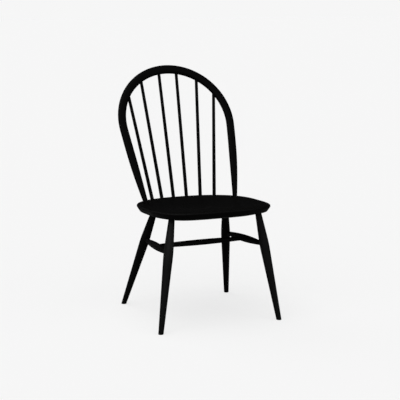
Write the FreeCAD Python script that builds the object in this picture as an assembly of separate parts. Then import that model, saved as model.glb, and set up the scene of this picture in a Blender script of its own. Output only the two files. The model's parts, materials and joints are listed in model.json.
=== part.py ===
import FreeCAD, Part
import math
import os

# Bow-back windsor chair: a saddled solid seat, a steam-bent bow with six sticks,
# four splayed double-tapered legs and an H of three turned stretchers.
# Millimetres, +Z up. The chair faces -Y, and the sitter's left hand is at +X.
# Places are set out from a line across the seat (y = 0 below) and the floor (z = 0).
# At the end everything is moved along Y, so that the origin is on the floor
# under the middle of the chair's overall box.

Vector = FreeCAD.Vector

# Glue line between every tenon and its socket, all round
GLUE_GAP = 0.1

# Seat plank
SEAT_HEIGHT = 449.5
SEAT_TILT_ANGLE = 2.3
SEAT_WIDTH = 492.0
SEAT_FRONT = 256.0
SEAT_BACK = 210.0
SEAT_WIDEST = -17.0
FRONT_SQUARENESS = 3.8
BACK_SQUARENESS = 2.4
SEAT_THICKNESS = 36.0
SIDE_DEPTH = 25.0
SIDE_INSET = 12.0
BEVEL_INSET = 42.0
RIM_ROUND = 5.5
ARRIS_ROUND = 3.0

# Saddle hollow in the top of the seat
HOLLOW_DEPTH = 11.0
HOLLOW_CENTRE = 5.0
HOLLOW_SIDE_MARGIN = 26.0
HOLLOW_FRONT_MARGIN = 14.0
HOLLOW_BACK_MARGIN = 46.0
HOLLOW_SQUARENESS = 2.6
RIDGE_HEIGHT = 5.0
RIDGE_WIDTH = 42.0
RIDGE_REACH = 150.0

# Legs: one profile for all four, thickest where the stretchers enter
LEG_FOOT_RADIUS = 10.0
LEG_SWELL_RADIUS = 19.1
LEG_SEAT_RADIUS = 12.2
LEG_TOP_RADIUS = 11.4
LEG_BLEND_RADIUS = 620.0
FOOT_CHAMFER = 1.2
FRONT_LEG_SIDE_INSET = 69.4
FRONT_LEG_END_INSET = 93.7
FRONT_LEG_SPLAY_ANGLE = 9.1
FRONT_LEG_RAKE_ANGLE = 7.6
REAR_LEG_SIDE_INSET = 97.8
REAR_LEG_END_INSET = 140.0
REAR_LEG_SPLAY_ANGLE = 10.85
REAR_LEG_RAKE_ANGLE = 20.85

# Stretchers: each swells to its middle, and its ends are its tenons
STRETCHER_TENON_RADIUS = 8.0
STRETCHER_FRONT_HEIGHT = 300.5
STRETCHER_REAR_HEIGHT = 288.5
SIDE_STRETCHER_RADIUS = 14.6
CROSS_STRETCHER_RADIUS = 11.6
LEG_SOCKET_REACH = 5.0
CROSS_SOCKET_REACH = 2.0
SOCKET_AIR = 1.0

# Bow: the centre line of its bent blank, in the raked plane that it lies in.
# The crown's radius is half the span at the seat and the flare above it.
BOW_HEIGHT = 571.5
BOW_CROWN_FLARE = 42.1
BOW_SIDE_RADIUS = 4500.0
BOW_RAKE_ANGLE = 27.1
BOW_BELLY = 6.5
BOW_SIDE_INSET = 41.3
BOW_BACK_INSET = 137.4
BOW_CROWN_HALF_WIDTH = 18.3
BOW_SIDE_HALF_WIDTH = 16.4
BOW_HALF_THICKNESS = 10.8
BOW_SQUARENESS = 2.5
ROUND_SQUARENESS = 2.0
BOW_END_RADIUS = 9.2
BOW_TENON_RADIUS = 8.5
BOW_SHOULDER_DEPTH = 6.0
BOW_TAPER_LENGTH = 210.0

# Six sticks between the seat and the bow. Angles run from one stick to the next:
# round the row on the seat, and round the crown's centre from the chair's middle.
SPINDLE_COUNT = 6
SPINDLE_BASE_RADIUS = 7.2
SPINDLE_TOP_RADIUS = 6.3
SPINDLE_BACK_INSET = 15.0
SPINDLE_ROW_INSET = 2.5
SPINDLE_ROW_ANGLE = 13.64
SPINDLE_CROWN_FIRST_ANGLE = 9.5
SPINDLE_CROWN_ANGLE = 22.3
SPINDLE_SEAT_DEPTH = 20.0
SPINDLE_BOW_REACH = 5.0

# Hardwood wedges, driven into sawn slots in the ends of the through tenons
WEDGE_HEAD = 4.0
WEDGE_TIP = 0.8
WEDGE_LENGTH = 26.0

# How finely the free-form shapes are sampled
OUTLINE_POINTS = 56
TOP_GRID_POINTS = 25
SECTION_POINTS = 12
BOW_STATION_COUNT = 49
SWELL_POINTS = 9
SLACK = 60.0

UP = Vector(0, 0, 1)


def polar(radius, degrees):
    """Point of a circle in the XY plane, with the angle measured from +Y."""
    angle = math.radians(degrees)
    return Vector(radius * math.sin(angle), radius * math.cos(angle), 0)


def superellipse(angle, half_x, half_y, power):
    """Point of a squared-off ellipse, at an angle seen from its centre."""
    across = math.cos(angle)
    along = math.sin(angle)
    radius = (abs(across / half_x) ** power + abs(along / half_y) ** power) ** (-1 / power)
    return radius * across, radius * along


def closed_curve(points):
    """Smooth closed wire through points that go once round in even steps."""
    curve = Part.BSplineCurve()
    steps = [float(step) for step in range(len(points) + 1)]
    curve.interpolate(Points=points, PeriodicFlag=True, Parameters=steps)
    return Part.Wire(curve.toShape())


def aim(shape, start, direction):
    """Stand a piece that was turned about Z on a start point, along a direction."""
    turn = FreeCAD.Rotation(UP, direction)
    shape.Placement = FreeCAD.Placement(start, turn)
    return shape


def turned(edges, length):
    """Solid of revolution about Z, from its profile's edges in the XZ plane."""
    profile = Part.Wire(edges)
    foot = profile.OrderedVertexes[0].Point
    top = profile.OrderedVertexes[-1].Point
    closing = Part.makePolygon([top, Vector(0, 0, length), Vector(0, 0, 0), foot])
    face = Part.Face(Part.Wire(edges + closing.Edges))
    return face.revolve(Vector(0, 0, 0), UP, 360)


def line(start, end):
    return Part.LineSegment(start, end).toShape()


# Seat

def seat_point(x, y, z=0.0):
    """Point given on the flat top of the untilted plank, moved to its real place."""
    tilt = FreeCAD.Rotation(Vector(1, 0, 0), -SEAT_TILT_ANGLE)
    return tilt.multVec(Vector(x, y, z)) + Vector(0, 0, SEAT_HEIGHT)


def tilt_seat(shape):
    shape.rotate(Vector(0, 0, 0), Vector(1, 0, 0), -SEAT_TILT_ANGLE)
    shape.translate(Vector(0, 0, SEAT_HEIGHT))
    return shape


def seat_outline(inset, z):
    """Outline of the seat at one level: squarish in front, rounder at the back."""
    half_width = SEAT_WIDTH / 2 - inset
    points = []
    for step in range(OUTLINE_POINTS):
        angle = 2 * math.pi * step / OUTLINE_POINTS
        if math.sin(angle) < 0:
            squareness = FRONT_SQUARENESS
            reach = SEAT_FRONT + SEAT_WIDEST - inset
        else:
            squareness = BACK_SQUARENESS
            reach = SEAT_BACK - SEAT_WIDEST - inset
        x, y = superellipse(angle, half_width, reach, squareness)
        points.append(Vector(x, SEAT_WIDEST + y, z))
    return closed_curve(points)


def half_width_at(y):
    """Half of the seat's width where a line across it cuts the outline."""
    if y < SEAT_WIDEST:
        share = (SEAT_WIDEST - y) / (SEAT_FRONT + SEAT_WIDEST)
        squareness = FRONT_SQUARENESS
    else:
        share = (y - SEAT_WIDEST) / (SEAT_BACK - SEAT_WIDEST)
        squareness = BACK_SQUARENESS
    return SEAT_WIDTH / 2 * (1 - share ** squareness) ** (1 / squareness)


def seat_plank():
    """The plank before saddling: side leaning in under the rim, then a wide bevel."""
    lean = math.atan2(SIDE_INSET, SIDE_DEPTH - RIM_ROUND)
    overhang = RIM_ROUND / math.tan((math.pi / 2 - lean) / 2) - RIM_ROUND
    rim_height = (overhang + SIDE_INSET) / math.tan(lean) - SIDE_DEPTH
    extra = SLACK * math.tan(lean)
    sections = [
        seat_outline(SIDE_INSET + BEVEL_INSET, -SEAT_THICKNESS),
        seat_outline(SIDE_INSET, -SIDE_DEPTH),
        seat_outline(-overhang - extra, rim_height + SLACK),
    ]
    return Part.makeLoft(sections, True, True)


def hollow_at(x, y):
    """How far the saddled top lies below the plank's flat top."""
    side = SEAT_WIDTH / 2 - HOLLOW_SIDE_MARGIN
    if y < HOLLOW_CENTRE:
        reach = SEAT_FRONT + HOLLOW_CENTRE - HOLLOW_FRONT_MARGIN
    else:
        reach = SEAT_BACK - HOLLOW_CENTRE - HOLLOW_BACK_MARGIN
    across = (abs(x) / side) ** HOLLOW_SQUARENESS
    along = (abs(y - HOLLOW_CENTRE) / reach) ** HOLLOW_SQUARENESS
    edge = (across + along) ** (2 / HOLLOW_SQUARENESS)
    if edge >= 1:
        return 0.0
    bowl = (1 - edge) ** 2
    forward = min(max((HOLLOW_CENTRE - y) / RIDGE_REACH, 0.0), 1.0)
    ramp = forward * forward * (3 - 2 * forward)
    ridge = RIDGE_HEIGHT * ramp * math.exp(-((x / RIDGE_WIDTH) ** 2))
    return max(HOLLOW_DEPTH * bowl - ridge * bowl, 0.0)


def above_seat():
    """Everything above the saddled top: what the adze and the scraper take away."""
    half = SEAT_WIDTH / 2 + SLACK
    front = -SEAT_FRONT - SLACK
    back = SEAT_BACK + SLACK
    rows = []
    for i in range(TOP_GRID_POINTS):
        x = -half + 2 * half * i / (TOP_GRID_POINTS - 1)
        row = []
        for j in range(TOP_GRID_POINTS):
            y = front + (back - front) * j / (TOP_GRID_POINTS - 1)
            row.append(Vector(x, y, -hollow_at(x, y)))
        rows.append(row)
    top = Part.BSplineSurface()
    top.interpolate(rows)
    return top.toShape().extrude(Vector(0, 0, 3 * SLACK))


def below_seat(plank):
    """The space under the bevel and the flat bottom of the plank."""
    width = SEAT_WIDTH + 2 * SLACK
    depth = SEAT_FRONT + SEAT_BACK + 2 * SLACK
    corner = Vector(-width / 2, -SEAT_FRONT - SLACK, -SIDE_DEPTH - SLACK)
    space = Part.makeBox(width, depth, SLACK, corner)
    return space.cut(plank)


def round_edges(shape, radius, level):
    """Round the edge that runs all round the untilted plank at one level."""
    chosen = []
    for edge in shape.Edges:
        box = edge.BoundBox
        is_level = box.ZMin > level - 1 and box.ZMax < level + 1
        if is_level and box.XLength > SEAT_WIDTH / 3:
            chosen.append(edge)
    return shape.makeFillet(radius, chosen)


# Legs and stretchers

class Leg:
    """Axis of one leg, from its foot on the floor to the top of the seat."""

    def __init__(self, side, front):
        if front:
            x = SEAT_WIDTH / 2 - FRONT_LEG_SIDE_INSET
            y = -SEAT_FRONT + FRONT_LEG_END_INSET
            splay = FRONT_LEG_SPLAY_ANGLE
            rake = FRONT_LEG_RAKE_ANGLE
            self.socket_height = STRETCHER_FRONT_HEIGHT
        else:
            x = SEAT_WIDTH / 2 - REAR_LEG_SIDE_INSET
            y = SEAT_BACK - REAR_LEG_END_INSET
            splay = REAR_LEG_SPLAY_ANGLE
            rake = -REAR_LEG_RAKE_ANGLE
            self.socket_height = STRETCHER_REAR_HEIGHT
        self.top = seat_point(side * x, y)
        lean_x = -side * math.tan(math.radians(splay))
        lean_y = math.tan(math.radians(rake))
        rise = Vector(lean_x, lean_y, 1)
        self.direction = Vector(rise).normalize()
        self.foot = self.top - rise * self.top.z
        self.length = rise.Length * self.top.z
        self.slope = rise.Length

    def at_height(self, z):
        return self.foot + self.direction * (z * self.slope)

    def solid(self, extra=0.0):
        """The turned leg, run on past both ends, and fatter by extra all round."""
        run = SLACK / 2
        total = self.length + 2 * run
        swell = self.socket_height * self.slope + run
        seat = total - run - SEAT_THICKNESS * self.slope
        lower = (LEG_SWELL_RADIUS - LEG_FOOT_RADIUS) / (swell - run)
        upper = (LEG_SEAT_RADIUS - LEG_SWELL_RADIUS) / (seat - swell)
        tenon = (LEG_TOP_RADIUS - LEG_SEAT_RADIUS) / (total - run - seat)
        turn = math.atan(lower) - math.atan(upper)
        back = LEG_BLEND_RADIUS * math.tan(turn / 2)
        flattened = LEG_BLEND_RADIUS * (1 / math.cos(turn / 2) - 1)
        fat = LEG_SWELL_RADIUS + extra
        start = Vector(LEG_FOOT_RADIUS + extra - lower * run, 0, 0)
        below = Vector(fat - lower * back, 0, swell - back)
        crest = Vector(fat - flattened, 0, swell)
        above = Vector(fat + upper * back, 0, swell + back)
        neck = Vector(LEG_SEAT_RADIUS + extra, 0, seat)
        end = Vector(LEG_TOP_RADIUS + extra + tenon * run, 0, total)
        edges = [
            line(start, below),
            Part.Arc(below, crest, above).toShape(),
            line(above, neck),
            line(neck, end),
        ]
        return aim(turned(edges, total), self.foot - self.direction * run, self.direction)


def surface_reach(radius, axis, direction):
    """How far from a round piece's axis a tenon that enters it aslant is clear of it."""
    lean = abs(axis.dot(direction))
    return (radius + STRETCHER_TENON_RADIUS * lean) / math.sqrt(1 - lean * lean) + GLUE_GAP


def swelled_rod(start, end, clear_start, clear_end, reach, middle_radius):
    """Stretcher between two axes: straight tenons, and a swell between the surfaces."""
    axis = end - start
    direction = Vector(axis).normalize()
    radius = STRETCHER_TENON_RADIUS
    total = axis.Length + 2 * reach
    swell_start = reach + clear_start
    swell_length = axis.Length - clear_start - clear_end
    points = []
    for step in range(SWELL_POINTS):
        share = step / (SWELL_POINTS - 1)
        bulge = (middle_radius - radius) * math.sin(math.pi * share)
        points.append(Vector(radius + bulge, 0, swell_start + swell_length * share))
    swell = Part.BSplineCurve()
    swell.interpolate(points)
    edges = [
        line(Vector(radius, 0, 0), points[0]),
        swell.toShape(),
        line(points[-1], Vector(radius, 0, total)),
    ]
    return aim(turned(edges, total), start - direction * reach, direction)


def socket(start, direction, radius, depth_before, depth_after):
    """Bored hole along a direction, from before a point to after it."""
    hole = Part.makeCylinder(radius + GLUE_GAP, depth_before + depth_after)
    return aim(hole, start - direction * depth_before, direction)


# Bow

class Bow:
    """Centre line of the bow, as a function of the length along it."""

    def __init__(self):
        y = SEAT_BACK - BOW_BACK_INSET
        self.base_half = half_width_at(y) - BOW_SIDE_INSET
        self.crown_radius = self.base_half + BOW_CROWN_FLARE
        self.origin = seat_point(0, y)
        rake = math.radians(BOW_RAKE_ANGLE)
        self.rise = Vector(0, math.sin(rake), math.cos(rake))
        self.normal = Vector(0, math.cos(rake), -math.sin(rake))
        self.centre_v = BOW_HEIGHT - self.crown_radius
        self.solve_sides()

    def solve_sides(self):
        """The crown's arc runs on into a much flatter arc that ends on the seat."""
        reach = BOW_SIDE_RADIUS - self.crown_radius
        base = Vector(self.base_half, -self.centre_v, 0)
        along = (BOW_SIDE_RADIUS ** 2 - reach ** 2 - base.Length ** 2) / (2 * reach)
        bearing = math.atan2(base.x, base.y)
        self.crown_angle = bearing - math.acos(along / base.Length)
        centre = polar(-reach, math.degrees(self.crown_angle))
        self.side_centre = centre
        spoke = base - centre
        self.base_angle = math.atan2(spoke.x, spoke.y)
        self.crown_length = self.crown_radius * self.crown_angle
        side_length = BOW_SIDE_RADIUS * (self.base_angle - self.crown_angle)
        self.half_length = self.crown_length + side_length

    def in_plane(self, s):
        """Point in the bow's own plane, at length s from the top of the crown."""
        far = abs(s)
        sign = math.copysign(1, s)
        if far <= self.crown_length:
            angle = far / self.crown_radius
            point = polar(self.crown_radius, math.degrees(angle))
        elif far <= self.half_length:
            angle = self.crown_angle + (far - self.crown_length) / BOW_SIDE_RADIUS
            point = self.side_centre + polar(BOW_SIDE_RADIUS, math.degrees(angle))
        else:
            angle = self.base_angle
            past = far - self.half_length
            point = self.side_centre + polar(BOW_SIDE_RADIUS, math.degrees(angle))
            point += Vector(math.cos(angle), -math.sin(angle), 0) * past
        return Vector(sign * point.x, point.y + self.centre_v, 0)

    def point(self, s):
        flat = self.in_plane(s)
        share = flat.y / BOW_HEIGHT
        belly = -4 * BOW_BELLY * share * (1 - share)
        across = Vector(flat.x, 0, 0)
        return self.origin + across + self.rise * flat.y + self.normal * belly

    def tangent(self, s):
        half_step = 0.5
        return (self.point(s + half_step) - self.point(s - half_step)).normalize()

    def size_at(self, s):
        """Half width, half thickness and squareness: an oval that ends round."""
        far = abs(s)
        from_seat = self.half_length - far
        share = min(max(from_seat / BOW_TAPER_LENGTH, 0.0), 1.0)
        ease = share * (3 - share * share) / 2
        crown = math.cos(math.pi / 2 * min(far / self.crown_length, 1.0)) ** 2
        full = BOW_SIDE_HALF_WIDTH + (BOW_CROWN_HALF_WIDTH - BOW_SIDE_HALF_WIDTH) * crown
        half_width = BOW_END_RADIUS + (full - BOW_END_RADIUS) * ease
        half_thickness = BOW_END_RADIUS + (BOW_HALF_THICKNESS - BOW_END_RADIUS) * ease
        squareness = ROUND_SQUARENESS + (BOW_SQUARENESS - ROUND_SQUARENESS) * ease
        return half_width, half_thickness, squareness

    def section(self, s):
        tangent = self.tangent(s)
        thick = (self.normal - tangent * self.normal.dot(tangent)).normalize()
        wide = tangent.cross(thick)
        half_width, half_thickness, squareness = self.size_at(s)
        centre = self.point(s)
        points = []
        for step in range(SECTION_POINTS):
            angle = 2 * math.pi * step / SECTION_POINTS
            across, through = superellipse(angle, half_width, half_thickness, squareness)
            points.append(centre + wide * across + thick * through)
        return closed_curve(points)

    def solid(self):
        """The whole bow, with a round tenon at each end run on down past the seat."""
        end = self.half_length + BOW_SHOULDER_DEPTH
        sections = []
        for step in range(BOW_STATION_COUNT):
            s = -end + 2 * end * step / (BOW_STATION_COUNT - 1)
            sections.append(self.section(s))
        body = Part.makeLoft(sections, True, False)
        for sign in (1, -1):
            outward = self.tangent(sign * end) * sign
            tenon = Part.makeCylinder(BOW_TENON_RADIUS, SLACK)
            body = body.fuse(aim(tenon, self.point(sign * end), outward))
        return body


# Spindles

def spindle_ends(bow, index):
    """Where a stick's axis meets the seat's top and the bow, counted from +X.

    The stick leans against the bow's plane, so it is aimed to cross that plane
    halfway along its socket.
    """
    place = (SPINDLE_COUNT - 1) / 2 - index
    row_radius = SEAT_WIDTH / 2 - SPINDLE_ROW_INSET
    row_centre = SEAT_BACK - SPINDLE_BACK_INSET - row_radius
    base = polar(row_radius, place * SPINDLE_ROW_ANGLE)
    foot = seat_point(base.x, base.y + row_centre)
    side = math.copysign(1, place)
    angle = SPINDLE_CROWN_FIRST_ANGLE + (abs(place) - 0.5) * SPINDLE_CROWN_ANGLE
    s = side * bow.crown_radius * math.radians(angle)
    head = bow.point(s)
    lean = (foot - head).normalize().dot(bow.normal)
    half_width = bow.size_at(s)[0]
    return foot, head - bow.normal * (lean * half_width / 2)


def spindle(foot, head, extra=0.0, longer=0.0):
    """A straight tapered stick, let into the seat and the bow."""
    axis = head - foot
    direction = Vector(axis).normalize()
    length = axis.Length
    taper = (SPINDLE_TOP_RADIUS - SPINDLE_BASE_RADIUS) / length
    below = SPINDLE_SEAT_DEPTH + longer
    above = SPINDLE_BOW_REACH + longer
    low = SPINDLE_BASE_RADIUS + extra - taper * below
    high = SPINDLE_TOP_RADIUS + extra + taper * above
    stick = Part.makeCone(low, high, length + below + above)
    return aim(stick, foot - direction * below, direction)


# Wedges

def wedge_block(end, inward, across):
    """Flat-sided wedge that enters a tenon's end, longer and wider than it needs."""
    thick = inward.cross(across).normalize()
    width = thick.cross(inward).normalize() * SLACK
    grow = (WEDGE_HEAD - WEDGE_TIP) / WEDGE_LENGTH
    head = WEDGE_HEAD + grow * SLACK / 2
    outer = end - inward * (SLACK / 2)
    tip = end + inward * WEDGE_LENGTH
    corners = [
        outer + thick * (head / 2),
        tip + thick * (WEDGE_TIP / 2),
        tip - thick * (WEDGE_TIP / 2),
        outer - thick * (head / 2),
        outer + thick * (head / 2),
    ]
    face = Part.Face(Part.makePolygon(corners))
    face.translate(width * -0.5)
    return face.extrude(width)


# Assembly

def build_legs(pieces, seat, waste):
    """Four legs and their wedges. The seat is bored through for each of them."""
    ground_size = 2 * SLACK
    legs = {}
    for end in ("front", "rear"):
        for side, sign in (("left", 1), ("right", -1)):
            leg = Leg(sign, end == "front")
            blank = leg.solid()
            seat = seat.cut(leg.solid(GLUE_GAP))
            block = wedge_block(leg.top, leg.direction * -1, Vector(1, 0, 0))
            wedge = block.common(blank).cut(waste)
            corner = leg.foot - Vector(SLACK, SLACK, ground_size)
            ground = Part.makeBox(ground_size, ground_size, ground_size, corner)
            body = ease_foot(blank.cut([waste, block, ground]))
            legs[end, side] = leg
            pieces[f"leg_{end}_{side}"] = body
            pieces[f"leg_wedge_{end}_{side}"] = wedge
    return seat, legs


def ease_foot(body):
    """Break the sharp edge where the foot stands on the floor."""
    rim = [edge for edge in body.Edges if edge.BoundBox.ZMax < FOOT_CHAMFER / 2]
    return body.makeChamfer(FOOT_CHAMFER, rim)


def build_stretchers(pieces, legs):
    """Two side stretchers between the legs, and one across between their middles."""
    middles = {}
    rods = {}
    for side in ("left", "right"):
        front = legs["front", side]
        rear = legs["rear", side]
        start = front.at_height(STRETCHER_FRONT_HEIGHT)
        end = rear.at_height(STRETCHER_REAR_HEIGHT)
        direction = (end - start).normalize()
        clear_front = surface_reach(LEG_SWELL_RADIUS, front.direction, direction)
        clear_rear = surface_reach(LEG_SWELL_RADIUS, rear.direction, direction)
        rods[side] = swelled_rod(
            start, end, clear_front, clear_rear, LEG_SOCKET_REACH, SIDE_STRETCHER_RADIUS
        )
        before = LEG_SOCKET_REACH + SOCKET_AIR
        after = LEG_SWELL_RADIUS + SLACK / 2
        hole = socket(start, direction, STRETCHER_TENON_RADIUS, before, after)
        pieces[f"leg_front_{side}"] = pieces[f"leg_front_{side}"].cut(hole)
        hole = socket(end, direction, STRETCHER_TENON_RADIUS, after, before)
        pieces[f"leg_rear_{side}"] = pieces[f"leg_rear_{side}"].cut(hole)
        middles[side] = (start + end) / 2
        side_axis = direction
    start = middles["left"]
    end = middles["right"]
    direction = (end - start).normalize()
    clear = surface_reach(SIDE_STRETCHER_RADIUS, side_axis, direction)
    cross = swelled_rod(start, end, clear, clear, CROSS_SOCKET_REACH, CROSS_STRETCHER_RADIUS)
    before = CROSS_SOCKET_REACH + SOCKET_AIR
    after = SIDE_STRETCHER_RADIUS + SLACK / 2
    hole = socket(start, direction, STRETCHER_TENON_RADIUS, before, after)
    pieces["side_stretcher_left"] = rods["left"].cut(hole)
    hole = socket(end, direction, STRETCHER_TENON_RADIUS, after, before)
    pieces["side_stretcher_right"] = rods["right"].cut(hole)
    pieces["cross_stretcher"] = cross


def build_bow(pieces, seat, below):
    """The bow and its two wedges. The seat is bored through for its ends."""
    bow = Bow()
    body = bow.solid()
    for side, sign in (("left", 1), ("right", -1)):
        shoulder = sign * (bow.half_length + BOW_SHOULDER_DEPTH)
        point = bow.point(shoulder)
        outward = bow.tangent(shoulder) * sign
        wide_bore = socket(point, outward, BOW_END_RADIUS, SLACK / 2, GLUE_GAP)
        bore = socket(point, outward, BOW_TENON_RADIUS, 0, SLACK)
        seat = seat.cut([wide_bore, bore])
        thickness = SEAT_THICKNESS / abs(outward.z) - BOW_SHOULDER_DEPTH
        block = wedge_block(point + outward * thickness, outward * -1, Vector(0, 1, 0))
        pieces[f"bow_wedge_{side}"] = block.common(body).cut(below)
        body = body.cut(block)
    return seat, bow, body.cut(below)


def build_spindles(pieces, seat, bow, bow_body):
    """Six sticks in blind sockets. Each socket is bored a little deeper than its stick."""
    holes = []
    for index in range(SPINDLE_COUNT):
        foot, head = spindle_ends(bow, index)
        pieces[f"spindle_{index + 1}"] = spindle(foot, head)
        holes.append(spindle(foot, head, GLUE_GAP, SOCKET_AIR))
    return seat.cut(holes), bow_body.cut(holes)


def build_chair():
    plank = seat_plank()
    plank = round_edges(plank, ARRIS_ROUND, -SIDE_DEPTH)
    plank = round_edges(plank, ARRIS_ROUND, -SEAT_THICKNESS)
    waste = above_seat()
    seat = tilt_seat(round_edges(plank.cut(waste), RIM_ROUND, 0))
    below = tilt_seat(below_seat(plank))
    waste = tilt_seat(waste)
    pieces = {}
    seat, legs = build_legs(pieces, seat, waste)
    build_stretchers(pieces, legs)
    seat, bow, bow_body = build_bow(pieces, seat, below)
    seat, bow_body = build_spindles(pieces, seat, bow, bow_body)
    pieces["seat"] = seat
    pieces["bow"] = bow_body
    return pieces


def centre_on_box(pieces):
    """Move the chair along Y, so that the origin is under the middle of its box."""
    whole = Part.makeCompound(list(pieces.values()))
    box = whole.optimalBoundingBox(False, False)
    shift = Vector(0, -(box.YMin + box.YMax) / 2, 0)
    for shape in pieces.values():
        shape.translate(shift)
    return box


pieces = build_chair()
box = centre_on_box(pieces)
print(f"box {box.XLength:.1f} x {box.YLength:.1f} x {box.ZLength:.1f} mm")
os.makedirs("parts", exist_ok=True)
for name in sorted(pieces):
    shape = pieces[name]
    print(f"{name}: {len(shape.Solids)} solid, {shape.Volume / 1000:.1f} cm3, valid {shape.isValid()}")
    shape.exportStep(f"parts/{name}.step")
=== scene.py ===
# %% [markdown]
# # A bow-back windsor chair
# The chair is all wood: a saddled seat, a bow bent from one length, six sticks,
# four turned legs and three turned stretchers, under one thin coat of black lacquer.
# Its solids are modelled and packed already, and this scene is built around them.
# The seat, legs, stretchers and wedges keep the meshes of their solids and get a
# finish. The sticks and the bow are grown again, so that the grain can follow the
# wood. Then come the floor, the light and the camera. All lengths are in metres.

import json
import math

import bmesh
import bpy
import numpy as np
from mathutils import Matrix, Vector
from mathutils.bvhtree import BVHTree

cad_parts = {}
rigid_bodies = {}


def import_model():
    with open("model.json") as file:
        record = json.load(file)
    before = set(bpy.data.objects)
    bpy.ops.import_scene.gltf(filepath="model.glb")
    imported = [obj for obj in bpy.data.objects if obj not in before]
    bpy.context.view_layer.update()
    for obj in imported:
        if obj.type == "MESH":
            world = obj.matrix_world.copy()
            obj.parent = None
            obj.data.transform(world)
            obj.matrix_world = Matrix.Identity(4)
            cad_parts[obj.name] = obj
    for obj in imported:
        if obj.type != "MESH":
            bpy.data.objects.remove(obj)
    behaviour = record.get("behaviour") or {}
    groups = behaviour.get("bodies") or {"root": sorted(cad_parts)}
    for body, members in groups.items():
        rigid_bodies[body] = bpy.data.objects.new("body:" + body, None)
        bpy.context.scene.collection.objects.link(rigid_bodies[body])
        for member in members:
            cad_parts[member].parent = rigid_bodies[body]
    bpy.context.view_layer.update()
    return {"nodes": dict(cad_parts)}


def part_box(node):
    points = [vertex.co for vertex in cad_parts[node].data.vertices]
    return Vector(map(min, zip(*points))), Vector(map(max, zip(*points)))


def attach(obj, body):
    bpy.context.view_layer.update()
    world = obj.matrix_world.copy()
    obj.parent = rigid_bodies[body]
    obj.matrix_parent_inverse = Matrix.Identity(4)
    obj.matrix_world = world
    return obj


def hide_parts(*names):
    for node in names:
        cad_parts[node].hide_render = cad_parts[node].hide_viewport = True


for leftover in list(bpy.data.objects):
    bpy.data.objects.remove(leftover)
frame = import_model()
nodes = frame["nodes"]

# %% [markdown]
# ## Where the grain runs
# A turner splits each leg and stick along its grain, so that the fibres run from
# end to end and the piece is strong. The pattern of a material can do the same, if
# it knows the middle of the piece and the direction of its length. They could be
# typed in for each piece, but would be wrong as soon as the splay of a leg changes.
# So they are measured on the mesh: the points of a long piece spread furthest along
# its length, and that is the main direction of their cloud.

# %% Measure the axis of a piece
def points_of(piece):
    """All points of a piece, as rows of x, y and z."""
    flat = np.zeros(len(piece.data.vertices) * 3)
    piece.data.vertices.foreach_get("co", flat)
    return flat.reshape(-1, 3)


def axis_of(piece):
    """Middle of a long piece, and the unit vector along its length, pointing up."""
    points = points_of(piece)
    middle = (points.min(axis=0) + points.max(axis=0)) / 2
    spread = np.cov((points - points.mean(axis=0)).T)
    along = np.linalg.eigh(spread)[1][:, -1]
    return Vector(middle), Vector(along * math.copysign(1, along[2]))


for name in ("leg_front_left", "spindle_1", "cross_stretcher"):
    print(name, "lies along", [round(part, 3) for part in axis_of(nodes[name])[1]])

# %% [markdown]
# ## Trees that read like sums
# In Blender a finish is a tree of nodes, and so is a shape that follows a rule.
# Both could be drawn by hand in the editor, but a script builds them again whenever
# a size changes. It reads best when its sums look like sums. So the output of a node
# is wrapped in a small class, whose plus, minus and times signs add Math nodes.

# %% Add a node
FIRST_COLUMN = -4
COLUMN_WIDTH = 220
ROW_HEIGHT = 240
ROWS = 6


def add_node(tree, kind, **settings):
    """New node with its settings, laid out in columns for whoever opens the tree."""
    column, row = divmod(len(tree.nodes), ROWS)
    node = tree.nodes.new(kind)
    node.location = ((FIRST_COLUMN + column) * COLUMN_WIDTH, -row * ROW_HEIGHT)
    for key, value in settings.items():
        setattr(node, key, value)
    return node


print("a tree is laid out in columns of", ROWS, "nodes")

# %% A value that flows through a tree
class Flow:
    """Output of a node. Adding or multiplying it adds the Math node that does so."""

    def __init__(self, tree, socket):
        self.tree = tree
        self.socket = socket

    def joined(self, operation, *others):
        values = enumerate((self, *others))
        return step(self.tree, "ShaderNodeMath", values, operation=operation)

    def __add__(self, other):
        return self.joined("ADD", other)

    def __sub__(self, other):
        return self.joined("SUBTRACT", other)

    def __mul__(self, other):
        return self.joined("MULTIPLY", other)

    def __truediv__(self, other):
        return self.joined("DIVIDE", other)

    def __pow__(self, other):
        return self.joined("POWER", other)


def feed(tree, socket, value):
    """Link a flow to a socket, or set the socket to a plain value."""
    if isinstance(value, Flow):
        tree.links.new(value.socket, socket)
    else:
        socket.default_value = value


def step(tree, kind, inputs=(), output=0, **settings):
    """Add a node, feed its inputs by name or number, and give one output as a flow."""
    node = add_node(tree, kind, **settings)
    for key, value in dict(inputs).items():
        feed(tree, node.inputs[key], value)
    return Flow(tree, node.outputs[output])


trial = bpy.data.node_groups.new("trial", "ShaderNodeTree")
doubled = (step(trial, "ShaderNodeValue") + 1.0) * 2.0
print(len(trial.nodes), "nodes in a row, and the last one does", doubled.socket.node.operation)
bpy.data.node_groups.remove(trial)

# %% [markdown]
# Three more steps come back all the time: a sum on vectors, a ramp that turns a
# number into a tone, and noise that can be drawn out along the grain.

# %% Vectors, ramps and noise
NUMBER_RESULTS = ("DOT_PRODUCT", "LENGTH")


def grey(tone):
    """Opaque grey, as a colour."""
    return (tone, tone, tone, 1)


def vector_step(tree, operation, *vectors, scale=None):
    """Add a sum on vectors. Its result is a vector too, or a number."""
    inputs = dict(enumerate(vectors))
    if scale is not None:
        inputs["Scale"] = scale
    output = "Value" if operation in NUMBER_RESULTS else "Vector"
    return step(tree, "ShaderNodeVectorMath", inputs, output, operation=operation)


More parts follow.
